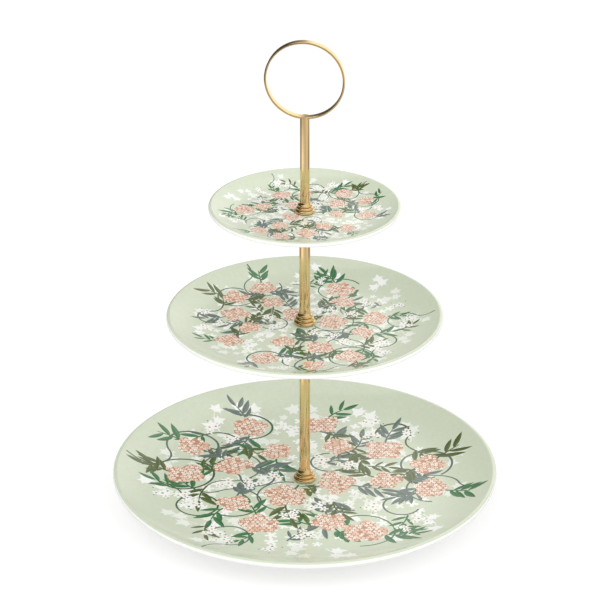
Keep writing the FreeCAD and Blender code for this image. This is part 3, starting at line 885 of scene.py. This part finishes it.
WORLD_STRENGTH = 0.98
FLOOR_SIZE = 30.0
FLOOR_COLOR = (0.6, 0.6, 0.6, 1)
FLOOR_GLOW = 0.4
WHITE = (1, 1, 1, 1)

SCENE.view_settings.view_transform = "Standard"
world = bpy.data.worlds.new("studio_air")
world.use_nodes = True
world.node_tree.nodes["Background"].inputs["Color"].default_value = WHITE
world.node_tree.nodes["Background"].inputs["Strength"].default_value = WORLD_STRENGTH
SCENE.world = world


def make_floor():
    """A pale square under the stand, hidden from reflections."""
    material, _, shader = new_material("pale_floor", FLOOR_COLOR, Roughness=0.9)
    shader.inputs["Specular IOR Level"].default_value = 0.0
    shader.inputs["Emission Color"].default_value = WHITE
    shader.inputs["Emission Strength"].default_value = FLOOR_GLOW
    half = FLOOR_SIZE / 2
    mesh = bpy.data.meshes.new("floor")
    mesh.from_pydata([(-half, -half, 0), (half, -half, 0), (half, half, 0), (-half, half, 0)], [],
                     [(0, 1, 2, 3)])
    mesh.materials.append(material)
    plane = bpy.data.objects.new("floor", mesh)
    SCENE.collection.objects.link(plane)
    plane.visible_glossy = False


make_floor()

# the strips of a ring that only reflections see, as degrees from the camera's azimuth and brightness:
# one set for the ring's lower part and one above it
LOW_STRIPS = (
    (-180, 0.6), (-110, 0.35), (-88, 0.6), (-66, 1.3), (-44, 1.2), (-20, 0.8), (5, 0.66), (30, 0.62),
    (50, 0.9), (68, 0.85), (84, 0.4), (104, 0.25), (128, 0.6), (180, 0.6),
)
HIGH_STRIPS = (
    (-180, 0.5), (-168, 0.07), (-30, 0.05), (-18, 0.35), (0, 0.5), (12, 0.65), (22, 0.8), (90, 0.85),
    (110, 0.5), (124, 0.3), (133, 1.35), (172, 1.35), (180, 0.5),
)
CAMERA_AZIMUTH = 8.5
TENT_RADIUS = 0.6
TENT_ROWS = ((-1.1, LOW_STRIPS), (0.02, LOW_STRIPS), (0.08, HIGH_STRIPS), (1.1, HIGH_STRIPS))
TENT_SIDES = 72
STRIP_COLOR = (1.0, 0.97, 0.92, 1.0)


def make_tent():
    """The upright ring, with brightness that runs smoothly between the strips."""
    mesh = bpy.data.meshes.new("reflection_tent")
    vertices, faces, levels = [], [], []
    for height, strips in TENT_ROWS:
        for i in range(TENT_SIDES + 1):
            degrees = 360 * i / TENT_SIDES - 180
            angle = math.radians(degrees + CAMERA_AZIMUTH)
            vertices.append((TENT_RADIUS * math.sin(angle), -TENT_RADIUS * math.cos(angle), height))
            levels.append(float(np.interp(degrees, *zip(*strips))))
    for row in range(len(TENT_ROWS) - 1):
        for i in range(TENT_SIDES):
            corner = row * (TENT_SIDES + 1) + i
            faces.append((corner, corner + 1, corner + TENT_SIDES + 2, corner + TENT_SIDES + 1))
    mesh.from_pydata(vertices, [], faces)
    shade = mesh.attributes.new("strip_level", "FLOAT", "POINT")
    shade.data.foreach_set("value", levels)
    material = bpy.data.materials.new("reflection_strips")
    material.use_nodes = True
    tree = material.node_tree
    tree.nodes.clear()
    level = tree.nodes.new("ShaderNodeAttribute")
    level.attribute_name = "strip_level"
    glow = tree.nodes.new("ShaderNodeEmission")
    glow.inputs["Color"].default_value = STRIP_COLOR
    output = tree.nodes.new("ShaderNodeOutputMaterial")
    tree.links.new(level.outputs["Fac"], glow.inputs["Strength"])
    tree.links.new(glow.outputs["Emission"], output.inputs["Surface"])
    mesh.materials.append(material)
    tent = bpy.data.objects.new("reflection_tent", mesh)
    SCENE.collection.objects.link(tent)
    tent.visible_camera = False
    tent.visible_diffuse = False
    tent.visible_transmission = False
    tent.visible_shadow = False


make_tent()

LIGHT_TARGET = Vector((0, 0, 0.12))


def area_light(name, azimuth, elevation, distance, size, power):
    """A square soft light aimed at the object, placed by its direction from it."""
    a, e = math.radians(azimuth), math.radians(elevation)
    direction = Vector((math.sin(a) * math.cos(e), -math.cos(a) * math.cos(e), math.sin(e)))
    data = bpy.data.lights.new(name, "AREA")
    data.shape = "SQUARE"
    data.size = size
    data.energy = power
    light = bpy.data.objects.new(name, data)
    light.location = LIGHT_TARGET + direction * distance
    light.rotation_mode = "QUATERNION"
    light.rotation_quaternion = direction.to_track_quat("Z", "Y")
    SCENE.collection.objects.link(light)


area_light("key_light", azimuth=-30, elevation=52, distance=1.7, size=1.0, power=3.1)
area_light("fill_light", azimuth=55, elevation=42, distance=1.8, size=1.2, power=5.0)

# ---------------------------------------------------------------- camera

CAMERA_DISTANCE = 1.8
CAMERA_ELEVATION = 25.4
CAMERA_TARGET = Vector((0, 0, 0.1505))
SENSOR = 36.0
FOCAL_WIDTHS = 4.382
AXIS_SHIFT = -0.008

camera_data = bpy.data.cameras.new("camera")
camera_data.sensor_width = SENSOR
camera_data.lens = SENSOR * FOCAL_WIDTHS
camera_data.shift_x = AXIS_SHIFT
camera = bpy.data.objects.new("camera", camera_data)
azimuth, elevation = math.radians(CAMERA_AZIMUTH), math.radians(CAMERA_ELEVATION)
back = Vector((math.sin(azimuth) * math.cos(elevation), -math.cos(azimuth) * math.cos(elevation),
               math.sin(elevation)))
camera.location = CAMERA_TARGET + back * CAMERA_DISTANCE
camera.rotation_mode = "QUATERNION"
camera.rotation_quaternion = (-back).to_track_quat("-Z", "Y")
SCENE.collection.objects.link(camera)
SCENE.camera = camera
